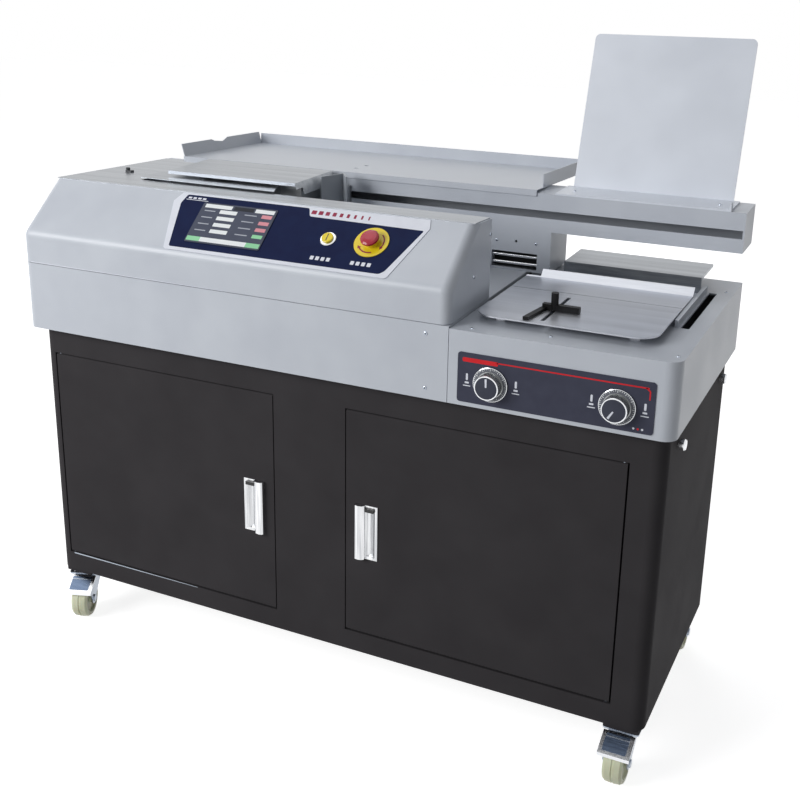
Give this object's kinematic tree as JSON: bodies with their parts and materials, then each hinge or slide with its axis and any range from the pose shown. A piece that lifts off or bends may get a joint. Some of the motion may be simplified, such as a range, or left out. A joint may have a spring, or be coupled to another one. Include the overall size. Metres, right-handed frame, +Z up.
{
  "type": "thermal book binding machine",
  "caption": "Floor-standing hot-melt book binder: cabinet with doors on casters, hood with control panel, sliding clamp on a beam, cover table with dials, paper tray and book rest.",
  "frame": {"origin": "centre of the outline on the floor under the casters", "axes": "+X along the machine to the right, -Y the front with the doors and panels, +Z up"},
  "size_m": [1.222, 0.6889, 1.1491],
  "materials": {
    "cabinet_paint": "fine-textured near-black powder coat",
    "grey_paint": "satin light grey enamel",
    "light_paint": "satin light grey enamel",
    "dark_paint": "satin mid grey enamel",
    "stainless": "brushed",
    "zinc_steel": "bright plated",
    "chrome": "polished",
    "aluminium": "machined",
    "black_iron": "blackened",
    "panel_film": "printed overlay",
    "screen_glass": "lit display behind a clear front",
    "yellow_plastic": "gloss",
    "red_plastic": "gloss",
    "knob_plastic": "matt with a bright rim",
    "black_plastic": "matt",
    "wheel_rubber": "cream-green elastomer"
  },
  "bodies": {
    "machine": {"cabinet_shell": "cabinet_paint", "cabinet_back_panel": "cabinet_paint", "cabinet_divider": "cabinet_paint", "left_door_pins": "zinc_steel", "right_door_pins": "zinc_steel", "base_skirt": "grey_paint", "hood_cover": "grey_paint", "deck_plate": "stainless", "control_panel": "panel_film", "touch_screen": "screen_glass", "start_bezel": "chrome", "stop_plate": "yellow_plastic", "beam": "grey_paint", "beam_post_left": "grey_paint", "beam_post_right": "grey_paint", "carriage_rail": "zinc_steel", "paper_tray": "grey_paint", "book_rest": "light_paint", "cutter_motor": "black_iron", "glue_tank": "aluminium", "table_housing": "grey_paint", "dial_panel": "panel_film", "cover_plate": "stainless", "rear_nip_plate": "stainless", "mains_inlet": "black_plastic", "thumb_screws": "chrome", "front_left_caster_plate": "zinc_steel", "front_right_caster_plate": "zinc_steel", "rear_left_caster_plate": "zinc_steel", "rear_right_caster_plate": "zinc_steel"},
    "left_door": {"left_door": "cabinet_paint", "left_door_handle": "chrome"},
    "right_door": {"right_door": "cabinet_paint", "right_door_handle": "chrome"},
    "clamp": {"clamp_carriage": "aluminium", "rear_jaw": "aluminium", "clamp_end_bracket": "dark_paint"},
    "clamp_jaw": {"front_jaw": "aluminium", "clamp_cover": "stainless"},
    "cutter": {"cutter_disc": "zinc_steel"},
    "front_roller": {"front_glue_roller": "zinc_steel"},
    "rear_roller": {"rear_glue_roller": "zinc_steel"},
    "start_key": {"start_button": "yellow_plastic"},
    "stop_key": {"stop_button": "red_plastic"},
    "left_knob": {"left_dial": "knob_plastic"},
    "right_knob": {"right_dial": "knob_plastic"},
    "nip_slide": {"front_nip_plate": "stainless"},
    "guide_slide": {"side_guide": "black_iron"},
    "front_left_fork": {"front_left_caster_fork": "zinc_steel"},
    "front_left_wheel": {"front_left_caster_wheel": "wheel_rubber"},
    "front_left_pedal": {"front_left_caster_pedal": "zinc_steel"},
    "front_right_fork": {"front_right_caster_fork": "zinc_steel"},
    "front_right_wheel": {"front_right_caster_wheel": "wheel_rubber"},
    "front_right_pedal": {"front_right_caster_pedal": "zinc_steel"},
    "rear_left_fork": {"rear_left_caster_fork": "zinc_steel"},
    "rear_left_wheel": {"rear_left_caster_wheel": "wheel_rubber"},
    "rear_left_pedal": {"rear_left_caster_pedal": "zinc_steel"},
    "rear_right_fork": {"rear_right_caster_fork": "zinc_steel"},
    "rear_right_wheel": {"rear_right_caster_wheel": "wheel_rubber"},
    "rear_right_pedal": {"rear_right_caster_pedal": "zinc_steel"}
  },
  "joints": [
    {"name": "left_door_hinge", "type": "hinge", "parent": "machine", "child": "left_door", "pos_m": [-0.56, -0.29837, 0.35], "axis": [0, 0, -1], "range_deg": [0, 105]},
    {"name": "right_door_hinge", "type": "hinge", "parent": "machine", "child": "right_door", "pos_m": [0.524, -0.29837, 0.35], "axis": [0, 0, 1], "range_deg": [0, 105]},
    {"name": "front_left_swivel", "type": "hinge", "parent": "machine", "child": "front_left_fork", "pos_m": [-0.557, -0.26837, 0.08], "axis": [0, 0, 1], "continuous": true},
    {"name": "front_left_roll", "type": "hinge", "parent": "front_left_fork", "child": "front_left_wheel", "pos_m": [-0.54537, -0.30032, 0.0375], "axis": [0.9397, 0.342, 0], "continuous": true},
    {"name": "front_left_brake", "type": "hinge", "parent": "front_left_fork", "child": "front_left_pedal", "pos_m": [-0.54571, -0.29938, 0.078], "axis": [0.9397, 0.342, 0], "range_deg": [0, 6]},
    {"name": "front_right_swivel", "type": "hinge", "parent": "machine", "child": "front_right_fork", "pos_m": [0.551, -0.26837, 0.08], "axis": [0, 0, 1], "continuous": true},
    {"name": "front_right_roll", "type": "hinge", "parent": "front_right_fork", "child": "front_right_wheel", "pos_m": [0.551, -0.30237, 0.0375], "axis": [1, 0, 0], "continuous": true},
    {"name": "front_right_brake", "type": "hinge", "parent": "front_right_fork", "child": "front_right_pedal", "pos_m": [0.551, -0.30137, 0.078], "axis": [1, 0, 0], "range_deg": [0, 6]},
    {"name": "rear_left_swivel", "type": "hinge", "parent": "machine", "child": "rear_left_fork", "pos_m": [-0.557, 0.10263, 0.08], "axis": [0, 0, 1], "continuous": true},
    {"name": "rear_left_roll", "type": "hinge", "parent": "rear_left_fork", "child": "rear_left_wheel", "pos_m": [-0.557, 0.13663, 0.0375], "axis": [-1, 0, 0], "continuous": true},
    {"name": "rear_left_brake", "type": "hinge", "parent": "rear_left_fork", "child": "rear_left_pedal", "pos_m": [-0.557, 0.13563, 0.078], "axis": [-1, 0, 0], "range_deg": [0, 6]},
    {"name": "rear_right_swivel", "type": "hinge", "parent": "machine", "child": "rear_right_fork", "pos_m": [0.551, 0.10263, 0.08], "axis": [0, 0, 1], "continuous": true},
    {"name": "rear_right_roll", "type": "hinge", "parent": "rear_right_fork", "child": "rear_right_wheel", "pos_m": [0.551, 0.13663, 0.0375], "axis": [-1, 0, 0], "continuous": true},
    {"name": "rear_right_brake", "type": "hinge", "parent": "rear_right_fork", "child": "rear_right_pedal", "pos_m": [0.551, 0.13563, 0.078], "axis": [-1, 0, 0], "range_deg": [0, 6]},
    {"name": "clamp_travel", "type": "slide", "parent": "machine", "child": "clamp", "axis": [1, 0, 0], "range_m": [0, 0.7]},
    {"name": "jaw_open", "type": "slide", "parent": "clamp", "child": "clamp_jaw", "axis": [0, -1, 0], "range_m": [0, 0.055]},
    {"name": "cutter_spin", "type": "hinge", "parent": "machine", "child": "cutter", "pos_m": [-0.053, 0.00863, 0.752], "axis": [0, 0, 1], "continuous": true},
    {"name": "front_roller_turn", "type": "hinge", "parent": "machine", "child": "front_roller", "pos_m": [0.052, -0.01437, 0.734], "axis": [0, 1, 0], "continuous": true},
    {"name": "rear_roller_turn", "type": "hinge", "parent": "machine", "child": "rear_roller", "pos_m": [0.12, -0.01437, 0.734], "axis": [0, 1, 0], "continuous": true},
    {"name": "start_press", "type": "slide", "parent": "machine", "child": "start_key", "axis": [0, 0.6228, -0.7823], "range_m": [0, 0.003], "stiffness_N_per_m": 300, "springref_m": -0.001},
    {"name": "stop_press", "type": "slide", "parent": "machine", "child": "stop_key", "axis": [0, 0.6228, -0.7823], "range_m": [0, 0.003]},
    {"name": "left_dial_turn", "type": "hinge", "parent": "machine", "child": "left_knob", "pos_m": [0.314, -0.32237, 0.656], "axis": [0, 1, 0], "range_deg": [-150, 150]},
    {"name": "right_dial_turn", "type": "hinge", "parent": "machine", "child": "right_knob", "pos_m": [0.512, -0.32237, 0.656], "axis": [0, 1, 0], "range_deg": [-150, 150]},
    {"name": "nip_close", "type": "slide", "parent": "machine", "child": "nip_slide", "axis": [0, 1, 0], "range_m": [0, 0.05]},
    {"name": "guide_move", "type": "slide", "parent": "machine", "child": "guide_slide", "axis": [0, 1, 0], "range_m": [-0.05, 0.07]}
  ],
  "couplings": [
    {"joint": "rear_roller_turn", "follows": "front_roller_turn", "ratio": 1}
  ]
}
